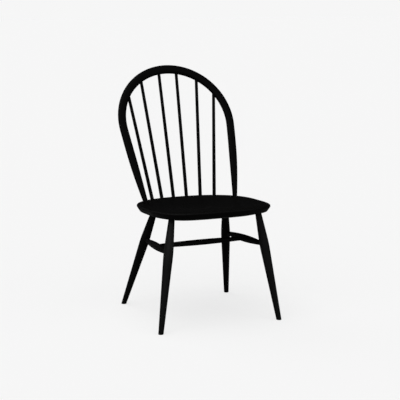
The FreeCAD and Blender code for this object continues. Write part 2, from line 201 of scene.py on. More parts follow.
def ramp(tree, value, stops):
    """Grey whose tone follows a value through stops, given as (value, tone)."""
    node = add_node(tree, "ShaderNodeValToRGB")
    elements = node.color_ramp.elements
    while len(elements) < len(stops):
        elements.new(0.5)
    for element, (position, tone) in zip(elements, stops):
        element.position = position
        element.color = grey(tone)
    feed(tree, node.inputs["Fac"], value)
    return Flow(tree, node.outputs["Color"])


def noise(tree, vector, stretch, detail=3.0, roughness=0.55):
    """Noise whose cells are 1 / stretch metres long on each axis."""
    scaled = vector_step(tree, "MULTIPLY", vector, stretch)
    inputs = {"Vector": scaled, "Scale": 1.0, "Detail": detail, "Roughness": roughness}
    return step(tree, "ShaderNodeTexNoise", inputs, "Fac")


print("a tone of 1 is the colour", grey(1))

# %% [markdown]
# ## Black lacquer over an open grain
# The real chair isn't painted with a thick skin. A thin black lacquer soaks into ash
# and beech, so the pores stay open as fine short furrows, and the growth rings show
# as a slow change of tone and gloss. Handling rubs the edges a little lighter.
# A picture of wood could be wrapped round each piece, but it would show a seam and
# stretch at the ends. A pattern worked out in space runs through the wood as real
# grain does. One node group holds it, so that every piece has the same finish. It
# reads a vector in metres: x and y across the wood, and z along its grain.

# %% Start the finish group
FINISH_TAKES = {"Grain": "NodeSocketVector", "Pith": "NodeSocketVector",
                "Lacquer": "NodeSocketColor"}
FINISH_GIVES = {"Color": "NodeSocketColor", "Roughness": "NodeSocketFloat",
                "Normal": "NodeSocketVector"}

finish_group = bpy.data.node_groups.new("lacquered wood", "ShaderNodeTree")
for label, kind in FINISH_TAKES.items():
    finish_group.interface.new_socket(label, in_out="INPUT", socket_type=kind)
for label, kind in FINISH_GIVES.items():
    finish_group.interface.new_socket(label, in_out="OUTPUT", socket_type=kind)
taken = add_node(finish_group, "NodeGroupInput")
grain, pith, lacquer = [Flow(finish_group, taken.outputs[label]) for label in FINISH_TAKES]
print("the finish takes", ", ".join(FINISH_TAKES), "and gives", ", ".join(FINISH_GIVES))

# %% [markdown]
# A tree grows one ring a year round its pith: open early wood first, then dense late
# wood. A piece is cut beside the pith, so it shows the rings as long, slightly wavy
# lines. The distance from the pith divided by the width of a ring counts the years,
# and what is left after the whole number says how early in its year the wood grew.

# %% Growth rings
RING_WIDTH = 0.0055
RING_WANDER = 0.030
WANDER_STRETCH = (8, 8, 1.2)
EARLY_IN_THE_YEAR = [(0.0, 1.0), (0.22, 0.55), (0.7, 0.05), (1.0, 0.95)]


def growth_rings(tree, grain, pith):
    """1 in the open early wood of a ring, and near 0 in its dense late wood."""
    from_pith = vector_step(tree, "SUBTRACT", grain, pith)
    radius = vector_step(tree, "LENGTH", vector_step(tree, "MULTIPLY", from_pith, (1, 1, 0)))
    wander = noise(tree, grain, WANDER_STRETCH, detail=2) * RING_WANDER
    year = ((wander + radius) / RING_WIDTH).joined("FRACT")
    return ramp(tree, year, EARLY_IN_THE_YEAR)


early = growth_rings(finish_group, grain, pith)
print("with its rings the finish has", len(finish_group.nodes), "nodes")

# %% [markdown]
# The pores of the wood are cut open lengthwise as short, fine furrows, most of them
# in the early wood. Noise that is drawn out along the grain gives such furrows.

# %% Pores
PORE_STRETCH = (1500, 1500, 42)
PORE_RIM = [(0.52, 0.0), (0.66, 1.0)]
LATE_PORES = 0.3


def open_pores(tree, grain, early):
    """1 in an open pore and 0 beside it, fainter in the late wood."""
    furrows = ramp(tree, noise(tree, grain, PORE_STRETCH, detail=2, roughness=0.6), PORE_RIM)
    return furrows * (early * (1 - LATE_PORES) + LATE_PORES)


pores = open_pores(finish_group, grain, early)
print("with its pores the finish has", len(finish_group.nodes), "nodes")

# %% [markdown]
# The lacquer soaks into one streak of fibres more than into the next, and the brush
# leaves more of it here than there. So narrow streaks and broad clouds are added up.

# %% Streaks of tone
STREAK_STRETCH = (160, 160, 5)
CLOUD_STRETCH = (14, 14, 9)
STREAK_SHARE = 0.6
SOAKED_TONES = [(0.34, 0.55), (0.66, 1.0)]

streaks = noise(finish_group, grain, STREAK_STRETCH, detail=4, roughness=0.6)
clouds = noise(finish_group, grain, CLOUD_STRETCH)
soaked = streaks * STREAK_SHARE + clouds * (1 - STREAK_SHARE)
tone = ramp(finish_group, soaked, SOAKED_TONES)
print("with its streaks the finish has", len(finish_group.nodes), "nodes")

# %% [markdown]
# Hands and cloths rub a chair at its edges first, and never all along them. An edge
# is where the surface would face another way if it were rounded over two
# millimetres, and noise breaks the edges up into patches.

# %% Rubbed edges
EDGE_RADIUS = 0.0022
EDGE_SAMPLES = 6
EDGE_TURN = [(0.80, 1.0), (0.985, 0.0)]
PATCH_STRETCH = (60, 60, 25)
PATCH_RIM = [(0.42, 0.0), (0.68, 1.0)]


def rubbed_edges(tree, grain):
    """1 where an edge is rubbed, and 0 away from the edges."""
    rounded = step(tree, "ShaderNodeBevel", {"Radius": EDGE_RADIUS}, "Normal",
                   samples=EDGE_SAMPLES)
    sharp = step(tree, "ShaderNodeNewGeometry", output="Normal")
    edge = ramp(tree, vector_step(tree, "DOT_PRODUCT", rounded, sharp), EDGE_TURN)
    return edge * ramp(tree, noise(tree, grain, PATCH_STRETCH, detail=4), PATCH_RIM)


worn = rubbed_edges(finish_group, grain)
print("with its worn edges the finish has", len(finish_group.nodes), "nodes")

# %% [markdown]
# The coat is a soft satin, a little uneven, and duller over early wood and pores,
# where more of it soaked away. Pores and early wood also lie deeper than the rest,
# by less than a tenth of a millimetre, which a bump shows well enough.

# %% Gloss, relief and colour of the finish
HAZE_STRETCH = (45, 45, 18)
SATIN = [(0.3, 0.42), (0.7, 0.50)]
DULL_EARLY_WOOD = 0.14
DULL_PORES = 0.12
PORE_DEPTH = 0.7
STREAK_RELIEF = 0.3
RELIEF = {"Strength": 0.35, "Distance": 0.00005}
WORN_EDGE = 8.0

haze = noise(finish_group, grain, HAZE_STRETCH, detail=4)
gloss = ramp(finish_group, haze, SATIN) + early * DULL_EARLY_WOOD + pores * DULL_PORES
height = streaks * STREAK_RELIEF - pores * PORE_DEPTH - early
normal = step(finish_group, "ShaderNodeBump", {"Height": height, **RELIEF}, "Normal")
colour = vector_step(finish_group, "SCALE", lacquer, scale=worn * WORN_EDGE + tone)
given = add_node(finish_group, "NodeGroupOutput")
for label, value in (("Color", colour), ("Roughness", gloss), ("Normal", normal)):
    feed(finish_group, given.inputs[label], value)
print("the whole finish has", len(finish_group.nodes), "nodes")

# %% [markdown]
# ## One material for each piece
# Two legs are never cut from the same spot of a tree. One material for all pieces
# would draw the same lines on each of them. So each piece has its own, which lays
# the grain along that piece and has the pith at its own distance. It works on object
# coordinates, so the pattern stays in the wood when the piece moves. What is the
# same all over a piece, such as its sheen, is set on the shader itself.

# %% A coat of lacquer
# The same black lacquer covers every piece. Its tone differs from kind to kind as painted light
# and shade: lowest on the seat and the bow, higher on the sticks, wedges and stretchers.
COATS = {
    "seat": {"colour": (0.0011, 0.0010, 0.0010), "sheen": 0.055},
    "bow": {"colour": (0.0012, 0.0011, 0.0011), "sheen": 0.03},
    "stick": {"colour": (0.0014, 0.0013, 0.0013), "sheen": 0.03},
    "leg": {"colour": (0.0035, 0.0034, 0.0034), "sheen": 0.055},
    "stretcher": {"colour": (0.0020, 0.0019, 0.0019), "sheen": 0.04},
    "wedge": {"colour": (0.0016, 0.0015, 0.0015), "sheen": 0.055},
}


def lacquered(name, kind, pith):
    """Material in the coat of one kind of piece, and its finish, with no grain yet."""
    material = bpy.data.materials.new(name)
    material.use_nodes = True
    tree = material.node_tree
    shader = tree.nodes["Principled BSDF"]
    shader.inputs["Specular IOR Level"].default_value = COATS[kind]["sheen"]
    finish = add_node(tree, "ShaderNodeGroup", node_tree=finish_group)
    finish.inputs["Pith"].default_value = pith
    finish.inputs["Lacquer"].default_value = (*COATS[kind]["colour"], 1)
    tree.links.new(finish.outputs["Color"], shader.inputs["Base Color"])
    tree.links.new(finish.outputs["Roughness"], shader.inputs["Roughness"])
    tree.links.new(finish.outputs["Normal"], shader.inputs["Normal"])
    return material, finish


print("coats for", ", ".join(COATS))

# %% [markdown]
# In a straight piece the grain runs one way from end to end. A Mapping node sets the
# pattern on the middle of the piece, and turns it so that its z follows the grain.

# %% Straight wood
def tone_by_height(tree, stops):
    """Grey whose tone follows the height above the floor, given as (metres, tone)."""
    where = step(tree, "ShaderNodeTexCoord", output="Object")
    return ramp(tree, step(tree, "ShaderNodeSeparateXYZ", {"Vector": where}, "Z"), stops)


def straight_wood(name, kind, middle, along, pith, turn=0.0, tones=None):
    """Lacquered wood whose grain runs straight through a piece, in one direction."""
    material, finish = lacquered(name, kind, pith)
    tree = material.node_tree
    turned = Vector(along).to_track_quat("Z", "Y").to_matrix() @ Matrix.Rotation(turn, 3, "Z")
    where = step(tree, "ShaderNodeTexCoord", output="Object")
    inputs = {"Vector": where, "Location": middle, "Rotation": turned.to_euler()}
    laid = step(tree, "ShaderNodeMapping", inputs, vector_type="TEXTURE")
    feed(tree, finish.inputs["Grain"], laid)
    # on a leg, the lacquer's colour is replaced by painted light and shade that follow the height
    if tones:
        feed(tree, finish.inputs["Lacquer"], tone_by_height(tree, tones))
    return material


# %% [markdown]
# ## The legs and the stretchers
# Seven pieces are turned on a lathe, and keep the meshes of their solids. The
# legs' colour has light and shade painted into it: the front legs are painted lighter
# than the rest of the chair as painted light, most of all the right one, which gets
# lighter towards the top, up under the seat. The rear legs are painted darker, as
# painted shade under the seat. The end of each leg's tenon is planed and lacquered
# together with the seat, so up there a leg is as dark as the seat. A mask could be
# painted on each leg, but a ramp on the height above the floor says the same with a
# few numbers.

# %% Dress the legs and the stretchers
SEAT_LEVEL = 0.42
SEAT_STEP = 0.01
# each tone stands behind its height above the floor in metres; these tones are painted
# light and shade: painted light on the front legs, painted shade on the rear legs under the seat
PAINTED_LEG_LIGHT = {
    "leg_front_right": [(0.0, 0.0021), (0.25, 0.0053), (0.37, 0.0112)],
    "leg_front_left": [(0.0, 0.0036), (0.25, 0.0050), (0.37, 0.0048)],
    "leg_rear_right": [(0.0, 0.0016), (0.37, 0.0018)],
    "leg_rear_left": [(0.0, 0.0016), (0.37, 0.0018)],
}
TURNED_PIECES = [*PAINTED_LEG_LIGHT, "side_stretcher_left", "side_stretcher_right", "cross_stretcher"]
TURN_STEP = 1.1
PITH_DISTANCE = 0.045
PITH_STEPS = (0.007, 0.02)
PITH_CYCLES = (5, 3)


def leg_tones_with_painted_light(stops):
    """Painted light and shade of a leg by height, with the tone of the seat from its underside up.
    """
    below = (SEAT_LEVEL - SEAT_STEP, stops[-1][1])
    return [*stops, below, (SEAT_LEVEL, COATS["seat"]["colour"][0])]


def pith_beside(order):
    """Where the pith lies beside one of the turned pieces, different for each of them."""
    x, y = [stride * (order % cycle) for stride, cycle in zip(PITH_STEPS, PITH_CYCLES)]
    return (PITH_DISTANCE + x, y, 0)


def dress(piece, material):
    """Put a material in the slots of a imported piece."""
    for place in piece.material_slots:
        place.material = material


for order, name in enumerate(TURNED_PIECES):
    middle, along = axis_of(nodes[name])
    # each leg gets painted light and shade by height; the stretchers keep their plain lacquer
    tones = leg_tones_with_painted_light(PAINTED_LEG_LIGHT[name]) if name in PAINTED_LEG_LIGHT else None
    kind = "leg" if tones else "stretcher"
    wood = straight_wood(f"{name}_wood", kind, middle, along, pith_beside(order),
                         order * TURN_STEP, tones)
    dress(nodes[name], wood)
print(len(TURNED_PIECES), "turned pieces dressed")

# %% [markdown]
# ## The seat and the wedges
# The seat is one thick plank, hollowed like a saddle. Its grain runs from the front
# to the back, so the hollow cuts through the rings and shows them as curves. Each
# through tenon is spread by a wedge, which is split from scrap with its grain
# upright. All of them only need their wood laid in the right direction.

# %% Dress the seat and the wedges
SEAT_PITH = (0.05, 0.09, 0)
WEDGE_PITH = (0.03, 0.01, 0)
BACKWARDS = (0, 1, 0)
UPRIGHT = (0, 0, 1)


def middle_of(name):
    """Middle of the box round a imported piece."""
    return sum(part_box(name), Vector()) / 2


dress(nodes["seat"], straight_wood("seat_wood", "seat", middle_of("seat"), BACKWARDS, SEAT_PITH))
wedges = [name for name in sorted(nodes) if "wedge" in name]
for name in wedges:
    wood = straight_wood(f"{name}_wood", "wedge", middle_of(name), UPRIGHT, WEDGE_PITH)
    dress(nodes[name], wood)
print("the seat and", len(wedges), "wedges dressed")

# %% [markdown]
# ## Shapes that follow a rule
# Six sticks differ only in where they stand and how long they are, and the bow is
# one oval section carried along one line. They could be modelled point by point,
# but such shapes suit Geometry Nodes: the rule is built once as a tree, and its
# named inputs take the sizes. The tree is run once, and what it makes is kept as a
# plain mesh.

# %% Start and end a shape tree
KINDS = {"float": "NodeSocketFloat", "int": "NodeSocketInt", "vector": "NodeSocketVector",
         "material": "NodeSocketMaterial", "geometry": "NodeSocketGeometry",
         "object": "NodeSocketObject"}
SHARP_ANGLE = math.radians(50)


def shape_tree(name, **inputs):
    """Geometry tree with named inputs, given as name=kind, and those inputs as flows."""
    tree = bpy.data.node_groups.new(name, "GeometryNodeTree")
    for label, kind in inputs.items():
        tree.interface.new_socket(label.replace("_", " "), in_out="INPUT", socket_type=KINDS[kind])
    tree.interface.new_socket("Shape", in_out="OUTPUT", socket_type=KINDS["geometry"])
    taken = add_node(tree, "NodeGroupInput")
    return tree, {label: Flow(tree, taken.outputs[label.replace("_", " ")]) for label in inputs}


def finish_shape(tree, mesh, material):
    """Shade a mesh smooth except at its sharp edges, give it a material, end the tree."""
    bend = step(tree, "GeometryNodeInputMeshEdgeAngle", output="Unsigned Angle")
    sharp = bend.joined("GREATER_THAN", SHARP_ANGLE)
    smooth = step(tree, "GeometryNodeSetShadeSmooth", {"Geometry": mesh})
    crisp = step(tree, "GeometryNodeSetShadeSmooth",
                 {"Geometry": smooth, "Selection": sharp, "Shade Smooth": False}, domain="EDGE")
    real = step(tree, "GeometryNodeRealizeInstances", {"Geometry": crisp})
    painted = step(tree, "GeometryNodeSetMaterial", {"Geometry": real, "Material": material})
    feed(tree, add_node(tree, "NodeGroupOutput").inputs["Shape"], painted)


print("an input of a shape tree can be", ", ".join(KINDS))

# %% Run a shape tree
def grow(name, tree, sizes, start=None):
    """Run a shape tree once, and keep what it makes as a plain mesh."""
    piece = bpy.data.objects.new(name, start or bpy.data.meshes.new(name))
    bpy.context.scene.collection.objects.link(piece)
    modifier = piece.modifiers.new("shape", "NODES")
    modifier.node_group = tree
    for item in tree.interface.items_tree:
        if item.in_out == "INPUT" and item.name in sizes:
            modifier[item.identifier] = sizes[item.name]
    seen = piece.evaluated_get(bpy.context.evaluated_depsgraph_get())
    plain = bpy.data.meshes.new_from_object(seen)
    piece.modifiers.remove(modifier)
    piece.data = plain
    return piece


# %% [markdown]
# ## The six sticks
# A stick is a rod that tapers from the seat to the bow. Both its ends are glued
# into blind sockets. A cylinder with one end scaled down would do for one stick, but
# a tree does for all: it draws a line from foot to head, divides it into rings, and
# sweeps a circle along it that shrinks on the way.

# %% The tree of a stick
def stick_tree():
    """Tapered rod between two points."""
    tree, given = shape_tree("tapered stick", Foot="vector", Head="vector", Foot_radius="float",
                             Head_radius="float", Rings="int", Sides="int", Wood="material")
    axis = step(tree, "GeometryNodeCurvePrimitiveLine",
                {"Start": given["Foot"], "End": given["Head"]})
    rings = step(tree, "GeometryNodeResampleCurve", {"Curve": axis, "Count": given["Rings"]})
    way = step(tree, "GeometryNodeSplineParameter", output="Factor")
    radius = given["Foot_radius"] + way * (given["Head_radius"] - given["Foot_radius"])
    circle = step(tree, "GeometryNodeCurvePrimitiveCircle",
                  {"Resolution": given["Sides"], "Radius": 1.0})
    swept = step(tree, "GeometryNodeCurveToMesh", {
        "Curve": rings, "Profile Curve": circle, "Scale": radius, "Fill Caps": True})
    finish_shape(tree, swept, given["Wood"])
    return tree


STICK_TREE = stick_tree()
print("the tree of a stick has", len(STICK_TREE.nodes), "nodes")

# %% [markdown]
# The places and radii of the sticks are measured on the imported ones, so the new
# sticks stand in their sockets. The points of a straight piece that lie furthest
# along its axis are the rim of its end.

# %% Measure the ends of the sticks
MM = 1000
STICK_COUNT = 6
END_SLICE = 0.0005
SAME_POINT_DIGITS = 6


def ends_of(piece):
    """Centre and radius of the round faces at both ends of a straight piece."""
    middle, along = axis_of(piece)
    points = np.unique(np.round(points_of(piece), SAME_POINT_DIGITS), axis=0)
    heights = (points - np.array(middle)) @ np.array(along)
    found = []
    for level in (heights.min(), heights.max()):
        rim = points[np.abs(heights - level) < END_SLICE]
        centre = rim.mean(axis=0)
        found.append((Vector(centre), float(np.linalg.norm(rim - centre, axis=1).mean())))
    return found


stick_ends = {}
for number in range(1, STICK_COUNT + 1):
    stick_ends[number] = ends_of(nodes[f"spindle_{number}"])
    (foot, foot_radius), (head, head_radius) = stick_ends[number]
    print(f"stick {number}: {(head - foot).length * MM:.0f} mm long, "
          f"{2 * foot_radius * MM:.1f} to {2 * head_radius * MM:.1f} mm thick")

# %% Grow the six sticks
STICK_RINGS = 28
STICK_SIDES = 48
STICK_PITH = 0.05
STICK_PITH_STEP = 0.012

for number, ((foot, foot_radius), (head, head_radius)) in stick_ends.items():
    pith_place = (STICK_PITH, STICK_PITH_STEP * number, 0)
    wood = straight_wood(f"stick_{number}_wood", "stick", foot, (head - foot).normalized(),
                         pith_place, turn=number)
    stick = grow(f"stick_{number}", STICK_TREE, {
        "Foot": foot, "Head": head, "Foot radius": foot_radius, "Head radius": head_radius,
        "Rings": STICK_RINGS, "Sides": STICK_SIDES, "Wood": wood})
    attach(stick, "root")
    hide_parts(f"spindle_{number}")
    print(stick.name, "has", len(stick.data.polygons), "faces")

# %% [markdown]
# ## The line of the bow
# The bow is one straight-grained length, steamed until it bends, and pulled round
# a form. Its fibres follow the bend from end to end, so a pattern laid straight
# through it would look cut from a board. That is why its line comes first, as a
# formula: a round crown, two sides that are nearly straight and touch it smoothly,
# and a slight belly backwards. It is drawn flat, sideways and up from the middle of
# the bow's foot, and leans back with the bow. Its length says where a fibre is.

# %% How high, wide and round the bow is
BOW_FOOT = Vector((0, 0.026809, 0.446586))
BOW_RAKE = math.radians(27.1)
BOW_RISE = Vector((0, math.sin(BOW_RAKE), math.cos(BOW_RAKE)))
BOW_FACE = Vector((0, math.cos(BOW_RAKE), -math.sin(BOW_RAKE)))
BOW_HEIGHT = 0.5715
BOW_HALF_SPAN = 0.193324
BOW_FLARE = 0.0421
CROWN_RADIUS = BOW_HALF_SPAN + BOW_FLARE
SIDE_RADIUS = 4.5
BOW_BELLY = 0.0065

print(f"the crown is an arc of {CROWN_RADIUS * MM:.0f} mm radius, "
      f"and the bow rises {BOW_HEIGHT * MM:.0f} mm along its slope")

# %% Two arcs and a belly
def polar(angle):
    """Unit vector in the flat drawing of the bow, at an angle from upright."""
    return Vector((math.sin(angle), math.cos(angle)))


def bow_line():
    """Lengths of half the crown and half the bow, and the function of a point on it."""
    # the crown's centre, the side's centre and the foot make a triangle with known sides,
    # which gives the angle where the two arcs touch
    reach = SIDE_RADIUS - CROWN_RADIUS
    crown_centre = BOW_HEIGHT - CROWN_RADIUS
    base = Vector((BOW_HALF_SPAN, -crown_centre))
    cosine = (SIDE_RADIUS ** 2 - reach ** 2 - base.length_squared) / (2 * reach * base.length)
    crown_angle = math.atan2(base.x, base.y) - math.acos(cosine)
    side_centre = polar(crown_angle) * -reach
    spoke = base - side_centre
    crown = CROWN_RADIUS * crown_angle
    half = crown + SIDE_RADIUS * (math.atan2(spoke.x, spoke.y) - crown_angle)

    def point(s):
        far = min(abs(s), half)
        if far <= crown:
            angle = far / CROWN_RADIUS
            flat = polar(angle) * CROWN_RADIUS
        else:
            angle = crown_angle + (far - crown) / SIDE_RADIUS
            flat = side_centre + polar(angle) * SIDE_RADIUS
        flat += Vector((math.cos(angle), -math.sin(angle))) * (abs(s) - far)
        up = flat.y + crown_centre
        share = up / BOW_HEIGHT
        belly = -4 * BOW_BELLY * share * (1 - share)
        across = Vector((math.copysign(flat.x, s), 0, 0))
        return BOW_FOOT + across + BOW_RISE * up + BOW_FACE * belly

    return crown, half, point


crown_length, half_length, bow_point = bow_line()
print(f"the bow's line is {2 * half_length * MM:.0f} mm long from seat to seat")

# %% [markdown]
# ## The section of the bow
# The section is a squared oval, broad across the bow and thinner through it. It
# shrinks to a round at the seat, so that it fits a bored hole. The tree sweeps a
# circle along the line to get the mesh, and then moves each of its points to where
# the formula wants it. For that, the line's own place, direction and length and the
# circle's angle are captured before the sweep, and are there to be read after it.

# %% Capture what the sweep would lose
CIRCLE_RADIUS = 0.01


def capture(tree, curve, **fields):
    """Keep fields on the points of a curve, given as name=(kind, flow)."""
    kept = add_node(tree, "GeometryNodeCaptureAttribute")
    for label, (kind, _) in fields.items():
        kept.capture_items.new(kind, label)
    feed(tree, kept.inputs["Geometry"], curve)
    for label, (_, value) in fields.items():
        feed(tree, kept.inputs[label], value)
    return [Flow(tree, kept.outputs[label]) for label in ("Geometry", *fields)]


def sweep_round(tree, line, sides):
    """Tube along a line, with the line's place, direction and length and the angle."""
    rail = step(tree, "GeometryNodeMeshToCurve", {"Mesh": line})
    length = step(tree, "GeometryNodeInputNamedAttribute", {"Name": "along"}, "Attribute",
                  data_type="FLOAT")
    rail, centre, tangent, along = capture(
        tree, rail, Centre=("VECTOR", step(tree, "GeometryNodeInputPosition")),
        Tangent=("VECTOR", step(tree, "GeometryNodeInputTangent")), Along=("FLOAT", length))
    circle = step(tree, "GeometryNodeCurvePrimitiveCircle",
                  {"Resolution": sides, "Radius": CIRCLE_RADIUS})
    way = step(tree, "GeometryNodeSplineParameter", output="Factor")
    circle, turn = capture(tree, circle, Turn=("FLOAT", way))
    tube = step(tree, "GeometryNodeCurveToMesh", {
        "Curve": rail, "Profile Curve": circle, "Fill Caps": True})
    return tube, centre, tangent, along, turn * (2 * math.pi)


print(f"the sweep carries a circle of {CIRCLE_RADIUS * MM:.0f} mm radius")

# %% How wide, thick and square the section is
ROUND = 2.0
BOW_SIZES = {
    "Crown half width": 0.0183,
    "Side half width": 0.0164,
    "Half thickness": 0.0108,
    "End radius": 0.0092,
    "Tenon radius": 0.0085,
    "Taper length": 0.210,
    "Squareness": 2.5,
    "Sides": 64,
}


def section_at(given, far):
    """Half width, half thickness and squareness at a length from the crown's middle."""
    share = ((given["Half_length"] - far) / given["Taper_length"]).joined("MAXIMUM", 0.0)
    share = share.joined("MINIMUM", 1.0)
    # leaves the foot at a slope, and is level where the section has its full size
    ease = share * (share * share * -1.0 + 3.0) * 0.5
    arc = (far / given["Crown_length"]).joined("MINIMUM", 1.0) * (math.pi / 2)
    crown = arc.joined("COSINE") ** 2.0
    side = given["Side_half_width"]
    full = side + (given["Crown_half_width"] - side) * crown
    tenon = far.joined("GREATER_THAN", given["End_length"])
    end = given["End_radius"] + tenon * (given["Tenon_radius"] - given["End_radius"])
    half_width = end + (full - end) * ease
    half_thickness = end + (given["Half_thickness"] - end) * ease
    return half_width, half_thickness, (given["Squareness"] - ROUND) * ease + ROUND


for place in ("Crown half width", "Half thickness", "End radius"):
    print(f"{place} of the bow: {BOW_SIZES[place] * MM:.1f} mm")

# %% [markdown]
# Take how far a point of an oval lies across it as a share of the half width, and
# how far it lies through it as a share of the half thickness. Their squares add up
# to one. With a higher power than two the corners fill out, and that is a squared
# oval. A point of the circle keeps its angle and moves to where this sum is one.
# Then it is put beside the line, square to it, with the section's face to the front.

# %% A point of the section
def squared_oval(angle, half_width, half_thickness, power):
    """Point of a squared oval at an angle, as its distances across and through it."""
    wide = angle.joined("COSINE")
    deep = angle.joined("SINE")
    measure = (wide / half_width).joined("ABSOLUTE") ** power
    measure = measure + (deep / half_thickness).joined("ABSOLUTE") ** power
    size = measure ** (power ** -1.0)
    return wide / size, deep / size


def beside_line(tree, centre, tangent, face, across, through):
    """Place of a point of the section, which is square to the line and faces forwards."""
    lean = vector_step(tree, "DOT_PRODUCT", face, tangent)
    thick = vector_step(tree, "SUBTRACT", face, vector_step(tree, "SCALE", tangent, scale=lean))
    thick = vector_step(tree, "NORMALIZE", thick)
    broad = vector_step(tree, "CROSS_PRODUCT", tangent, thick)
    offset = vector_step(tree, "ADD", vector_step(tree, "SCALE", broad, scale=across),
                         vector_step(tree, "SCALE", thick, scale=through))
    return vector_step(tree, "ADD", centre, offset)


# %% [markdown]
# The sticks sit in sockets that are bored into the finished bow. The tree bores
# them too, by taking six bits away from the swept bow. The new faces inside the
# sockets have no grain of their own, so each point reads it back from the nearest
# place on the bow before it was bored.

# %% Grain and sockets
def note_grain(tree, mesh, value):
    """Store a vector on each point of a mesh, under the name that the wood reads."""
    return step(tree, "GeometryNodeStoreNamedAttribute",
                {"Geometry": mesh, "Name": "grain", "Value": value}, data_type="FLOAT_VECTOR")


def bore(tree, whole, bits):
    """Take the bits away from a mesh, and give the sockets their grain."""
    shape = step(tree, "GeometryNodeObjectInfo", {"Object": bits}, "Geometry")
    cut = step(tree, "GeometryNodeMeshBoolean", {"Mesh 1": whole, "Mesh 2": shape}, "Mesh",
               operation="DIFFERENCE", solver="EXACT")
    grain = step(tree, "GeometryNodeInputNamedAttribute", {"Name": "grain"}, "Attribute",
                 data_type="FLOAT_VECTOR")
    nearest = step(tree, "GeometryNodeSampleNearestSurface", {"Mesh": whole, "Value": grain},
                   "Value", data_type="FLOAT_VECTOR")
    return note_grain(tree, cut, nearest)


# %% The tree of the bow
def bow_tree():
    """Squared oval swept along the bow's line, with its sockets bored."""
    tree, given = shape_tree(
        "bent bow", Line="geometry", Sockets="object", Face="vector", Half_length="float",
        Crown_length="float", End_length="float", Crown_half_width="float",
        Side_half_width="float", Half_thickness="float", End_radius="float",
        Tenon_radius="float", Taper_length="float", Squareness="float", Sides="int",
        Wood="material")
    tube, centre, tangent, along, angle = sweep_round(tree, given["Line"], given["Sides"])
    section = section_at(given, along.joined("ABSOLUTE"))
    across, through = squared_oval(angle, *section)
    place = beside_line(tree, centre, tangent, given["Face"], across, through)
    whole = step(tree, "GeometryNodeSetPosition", {"Geometry": tube, "Position": place})
    blank = step(tree, "ShaderNodeCombineXYZ", {"X": across, "Y": through, "Z": along})
    whole = note_grain(tree, whole, blank)
    finish_shape(tree, bore(tree, whole, given["Sockets"]), given["Wood"])
    return tree


BOW_TREE = bow_tree()
print("the tree of the bow has", len(BOW_TREE.nodes), "nodes")

# %% [markdown]
# ## Boring and growing the bow
# A bit is a stick with a little room for glue round it. It starts outside the bow
# and ends just past the head of its stick, so the stick tree can make it as well.

# %% Bits that bore the sockets
SOCKET_ROOM = 0.0001
SOCKET_AIR = 0.001
BIT_LENGTH = 0.04


def boring_bits():
    """Six tapered bits, one on the line of each stick, as one object."""
    whole = bmesh.new()
    for (foot, foot_radius), (head, head_radius) in stick_ends.values():
        along = (head - foot).normalized()
        taper = (head_radius - foot_radius) / (head - foot).length
        bit = grow("bit", STICK_TREE, {
            "Foot": head - along * BIT_LENGTH, "Head": head + along * SOCKET_AIR,
            "Foot radius": head_radius - taper * BIT_LENGTH + SOCKET_ROOM,
            "Head radius": head_radius + taper * SOCKET_AIR + SOCKET_ROOM,
            "Rings": 2, "Sides": STICK_SIDES})
        whole.from_mesh(bit.data)
        bpy.data.objects.remove(bit)
    mesh = bpy.data.meshes.new("bits")
    whole.to_mesh(mesh)
    whole.free()
    bits = bpy.data.objects.new("bits", mesh)
    bpy.context.scene.collection.objects.link(bits)
    return bits


bits = boring_bits()
print("the bits have", len(bits.data.polygons), "faces")

# %% [markdown]
# The tree needs the bow's line as a chain of edges, with the length along the bow
# on each point. Below the shoulder the section steps in to the radius of the tenon
# within a hair's breadth, so the chain has two points close together there.

# %% Grow the bow
BOW_SHOULDER = 0.006
BOW_STATIONS = 241
SHOULDER_STEP = 0.00002
TENON_START = 0.004
BOW_PITH = (0.03, 0.05, 0)


def line_mesh(name, lengths, point):
    """Chain of edges along a line, with the length along it on each point."""
    mesh = bpy.data.meshes.new(name)
    edges = [(number, number + 1) for number in range(len(lengths) - 1)]
    mesh.from_pydata([point(s) for s in lengths], edges, [])
    mesh.attributes.new("along", "FLOAT", "POINT").data.foreach_set("value", lengths)
    return mesh


end_length = half_length + BOW_SHOULDER
tenon_lengths = [end_length + SHOULDER_STEP, end_length + TENON_START]
lengths = [-s for s in reversed(tenon_lengths)]
lengths += [*np.linspace(-end_length, end_length, BOW_STATIONS), *tenon_lengths]
bow_wood, bow_finish = lacquered("bow_wood", "bow", BOW_PITH)
blank = step(bow_wood.node_tree, "ShaderNodeAttribute", output="Vector", attribute_name="grain")
feed(bow_wood.node_tree, bow_finish.inputs["Grain"], blank)
bow = grow("bent_bow", BOW_TREE, {
    "Face": BOW_FACE, "Half length": half_length, "Crown length": crown_length,
    "End length": end_length + SHOULDER_STEP / 2, "Sockets": bits, "Wood": bow_wood,
    **BOW_SIZES}, line_mesh("bow line", lengths, bow_point))
bpy.data.objects.remove(bits)
print("the bow has", len(bow.data.polygons), "faces")

# %% [markdown]
# ## The tenons of the bow
# Below its shoulders the bow goes on as two round tenons, sawn for their wedges and
# trimmed level with the underside of the seat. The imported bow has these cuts
# already, so the ends are taken from it: a copy is merged and cut off across each
# tenon, and its rim is bridged to the rim of the new bow.

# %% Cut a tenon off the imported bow
MERGE_DISTANCE = 1e-6
TENON_REACH = 0.06


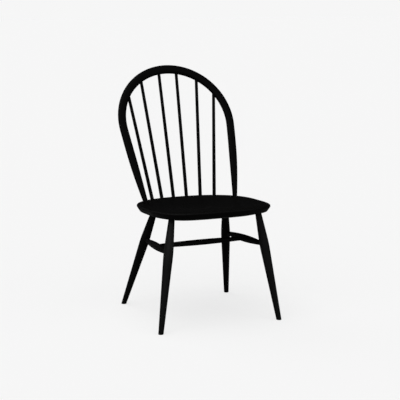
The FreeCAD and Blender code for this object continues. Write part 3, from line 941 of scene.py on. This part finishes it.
def tenon_end(mesh, point, outward):
    """Closed end of a merged copy of a solid mesh, beyond a plane and on one side."""
    end = bmesh.new()
    end.from_mesh(mesh)
    bmesh.ops.remove_doubles(end, verts=end.verts, dist=MERGE_DISTANCE)
    other = [vertex for vertex in end.verts if vertex.co.x * point.x < 0]
    bmesh.ops.delete(end, geom=other, context="VERTS")
    everything = end.verts[:] + end.edges[:] + end.faces[:]
    bmesh.ops.bisect_plane(end, geom=everything, plane_co=point, plane_no=outward,
                           clear_inner=True)
    stray = [vertex for vertex in end.verts if (vertex.co - point).length > TENON_REACH]
    bmesh.ops.delete(end, geom=stray, context="VERTS")
    return end


tenon_ends = {}
for side in (1, -1):
    point = bow_point(side * (end_length + 2 * TENON_START))
    outward = (point - bow_point(side * end_length)).normalized()
    tenon_ends[side] = tenon_end(nodes["bow"].data, point, outward)
    print(f"the tenon at x = {point.x:.3f} has {len(tenon_ends[side].faces)} faces")

# %% Bridge the tenons to the bow
def join_tenon(whole, end, side):
    """Add one end to the bow, open its cap and bridge the gap between the two rims."""
    grain_layer = whole.verts.layers.float_vector["grain"]
    foot = bow_point(side * half_length)
    twins = {}
    for vertex in end.verts:
        twin = whole.verts.new(vertex.co)
        offset = vertex.co - foot
        twin[grain_layer] = (offset.x, offset.y, side * (half_length - offset.z))
        twins[vertex] = twin
    for face in end.faces:
        whole.faces.new([twins[vertex] for vertex in face.verts])
    caps = [face for face in whole.faces
            if len(face.verts) == BOW_SIZES["Sides"] and face.calc_center_median().x * side > 0]
    bmesh.ops.delete(whole, geom=caps, context="FACES_ONLY")
    rims = [edge for edge in whole.edges if len(edge.link_faces) == 1]
    bmesh.ops.bridge_loops(whole, edges=rims)


whole = bmesh.new()
whole.from_mesh(bow.data)
for side, end in tenon_ends.items():
    join_tenon(whole, end, side)
    end.free()
print("with its tenons the bow has", len(whole.faces), "faces")

# %% Shade the joined bow
CM3 = 1e6

bmesh.ops.recalc_face_normals(whole, faces=whole.faces)
for face in whole.faces:
    face.smooth = True
    face.material_index = 0
for edge in whole.edges:
    edge.smooth = len(edge.link_faces) == 2 and edge.calc_face_angle() < SHARP_ANGLE
open_edges = sum(len(edge.link_faces) != 2 for edge in whole.edges)
print(f"the bow holds {whole.calc_volume() * CM3:.0f} cm3 and has {open_edges} open edges")
whole.to_mesh(bow.data)
whole.free()
bow.data.materials.clear()
bow.data.materials.append(bow_wood)

# %% [markdown]
# A copy that takes the place of a solid has to be the same piece. So the distance
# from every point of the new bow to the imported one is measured, before the packed
# one is put away.

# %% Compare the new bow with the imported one, and put it in its place
packed = BVHTree.FromObject(nodes["bow"], bpy.context.evaluated_depsgraph_get())
misses = [packed.find_nearest(vertex.co)[3] for vertex in bow.data.vertices]
print(f"the new bow lies within {max(misses) * MM:.2f} mm of the packed one")
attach(bow, "root")
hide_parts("bow")

# %% [markdown]
# ## The floor
# The photograph was taken in front of pale, even paper. A bright lamp on white paper
# would give that too, but it would also light the chair from below. So the camera
# sees paper that is mostly a glow of its own and still keeps the chair's shadow, and
# every other ray sees a duller paper. Metal or glass would have to mirror the bright
# paper too, but the chair has neither, and its black lacquer would turn grey.
# The floor is so large that no edge shows.

# %% Lay the floor
BACKGROUND = 0.9216
PAPER = 0.95
PAPER_BOUNCE = 0.22
PAPER_GLOW_SHARE = 0.78
FLOOR_REACH = 60.0


def only_for_camera(tree, shown, otherwise):
    """Surface or light that the camera sees one way, and every other ray another way."""
    seen = step(tree, "ShaderNodeLightPath", output="Is Camera Ray")
    return step(tree, "ShaderNodeMixShader", {"Fac": seen, 1: otherwise, 2: shown})


floor_mesh = bpy.data.meshes.new("floor")
corners = [(-FLOOR_REACH, -FLOOR_REACH, 0), (FLOOR_REACH, -FLOOR_REACH, 0),
           (FLOOR_REACH, FLOOR_REACH, 0), (-FLOOR_REACH, FLOOR_REACH, 0)]
floor_mesh.from_pydata(corners, [], [(0, 1, 2, 3)])
floor = bpy.data.objects.new("floor", floor_mesh)
bpy.context.scene.collection.objects.link(floor)
paper = bpy.data.materials.new("paper")
paper.use_nodes = True
sheet = paper.node_tree
sheet.nodes.clear()
lit = step(sheet, "ShaderNodeBsdfDiffuse", {"Color": grey(PAPER)})
glow = step(sheet, "ShaderNodeEmission", {"Color": grey(BACKGROUND)})
shown = step(sheet, "ShaderNodeMixShader", {"Fac": PAPER_GLOW_SHARE, 1: lit, 2: glow})
bounce = step(sheet, "ShaderNodeBsdfDiffuse", {"Color": grey(PAPER_BOUNCE)})
surface = add_node(sheet, "ShaderNodeOutputMaterial").inputs["Surface"]
feed(sheet, surface, only_for_camera(sheet, shown, bounce))
floor_mesh.materials.append(paper)
print(f"the paper reaches {FLOOR_REACH:.0f} m to each side")

# %% [markdown]
# ## The light
# In a studio each lamp stands behind a wide sheet of cloth, so its light comes from
# a large patch and its shadows are soft. A sun as wide as that patch does the same,
# and lights the floor evenly to its far edge. The key and the fill stand at either
# side of the camera, a lamp overhead draws the edge of the seat, and a weak one
# behind lifts the back of the chair. Together they show a colour about as it is
# written. The air behind the paper's far edge has the paper's colour.

# %% The lamps
LAMPS = {
    "key": {"azimuth": -52, "elevation": 22, "strength": 2.1, "width": 80},
    "fill": {"azimuth": 28, "elevation": 18, "strength": 1.35, "width": 80},
    "top": {"azimuth": -60, "elevation": 80, "strength": 1.43, "width": 50},
    "back": {"azimuth": -150, "elevation": 42, "strength": 0.45, "width": 40},
}


def towards(azimuth, elevation):
    """Unit vector from the chair to an azimuth and an elevation, in degrees."""
    turn = math.radians(azimuth)
    rise = math.radians(elevation)
    level = Vector((math.sin(turn), -math.cos(turn), 0))
    return level * math.cos(rise) + Vector((0, 0, math.sin(rise)))


def soft_sun(name, azimuth, elevation, strength, width):
    """Sun that is so many degrees wide, and shines on the chair from one direction."""
    lamp = bpy.data.lights.new(name, "SUN")
    lamp.energy = strength
    lamp.angle = math.radians(width)
    holder = bpy.data.objects.new(name, lamp)
    holder.rotation_mode = "QUATERNION"
    holder.rotation_quaternion = towards(azimuth, elevation).to_track_quat("Z", "Y")
    bpy.context.scene.collection.objects.link(holder)


for name, settings in LAMPS.items():
    soft_sun(name, **settings)
print("lamps:", ", ".join(LAMPS))

# %% The air
AMBIENT = 0.02

world = bpy.data.worlds.new("studio")
bpy.context.scene.world = world
world.use_nodes = True
sky = world.node_tree
sky.nodes.clear()
dim = step(sky, "ShaderNodeBackground", {"Color": grey(AMBIENT)})
pale = step(sky, "ShaderNodeBackground", {"Color": grey(BACKGROUND)})
air = add_node(sky, "ShaderNodeOutputWorld").inputs["Surface"]
feed(sky, air, only_for_camera(sky, pale, dim))
print(f"the air is {BACKGROUND} to the camera and {AMBIENT} to the chair")

# %% [markdown]
# ## The camera
# The photograph looks at the chair from its right front, a little from above and
# from far off, so its lines hardly converge. The place, the angle and the lens
# were found by laying the chair's outline over the photograph. Its optical centre
# isn't quite the middle of the picture, so the lens is shifted a little.

# %% Place the camera
CAMERA_AZIMUTH = -23.24
CAMERA_ELEVATION = 10.249
CAMERA_DISTANCE = 4.42685
CAMERA_TARGET = Vector((-0.0004, -0.04573, 0.46106))
CAMERA_RANGE = 500
FOCAL_PIXELS = 1117.389
FRAME_PIXELS = 400
CENTRE_PIXELS = (198.332, 199.649)
SENSOR = 36.0

back = towards(CAMERA_AZIMUTH, CAMERA_ELEVATION)
lens = bpy.data.cameras.new("camera")
lens.sensor_width = SENSOR
lens.lens = FOCAL_PIXELS / FRAME_PIXELS * SENSOR
lens.shift_x = (FRAME_PIXELS / 2 - CENTRE_PIXELS[0]) / FRAME_PIXELS
lens.shift_y = (CENTRE_PIXELS[1] - FRAME_PIXELS / 2) / FRAME_PIXELS
lens.clip_end = CAMERA_RANGE
camera = bpy.data.objects.new("camera", lens)
camera.location = CAMERA_TARGET + back * CAMERA_DISTANCE
camera.rotation_mode = "QUATERNION"
camera.rotation_quaternion = back.to_track_quat("Z", "Y")
bpy.context.scene.collection.objects.link(camera)
bpy.context.scene.camera = camera
bpy.context.scene.view_settings.view_transform = "Standard"
print(f"the lens is {lens.lens:.0f} mm long and stands {camera.location.z:.2f} m high")
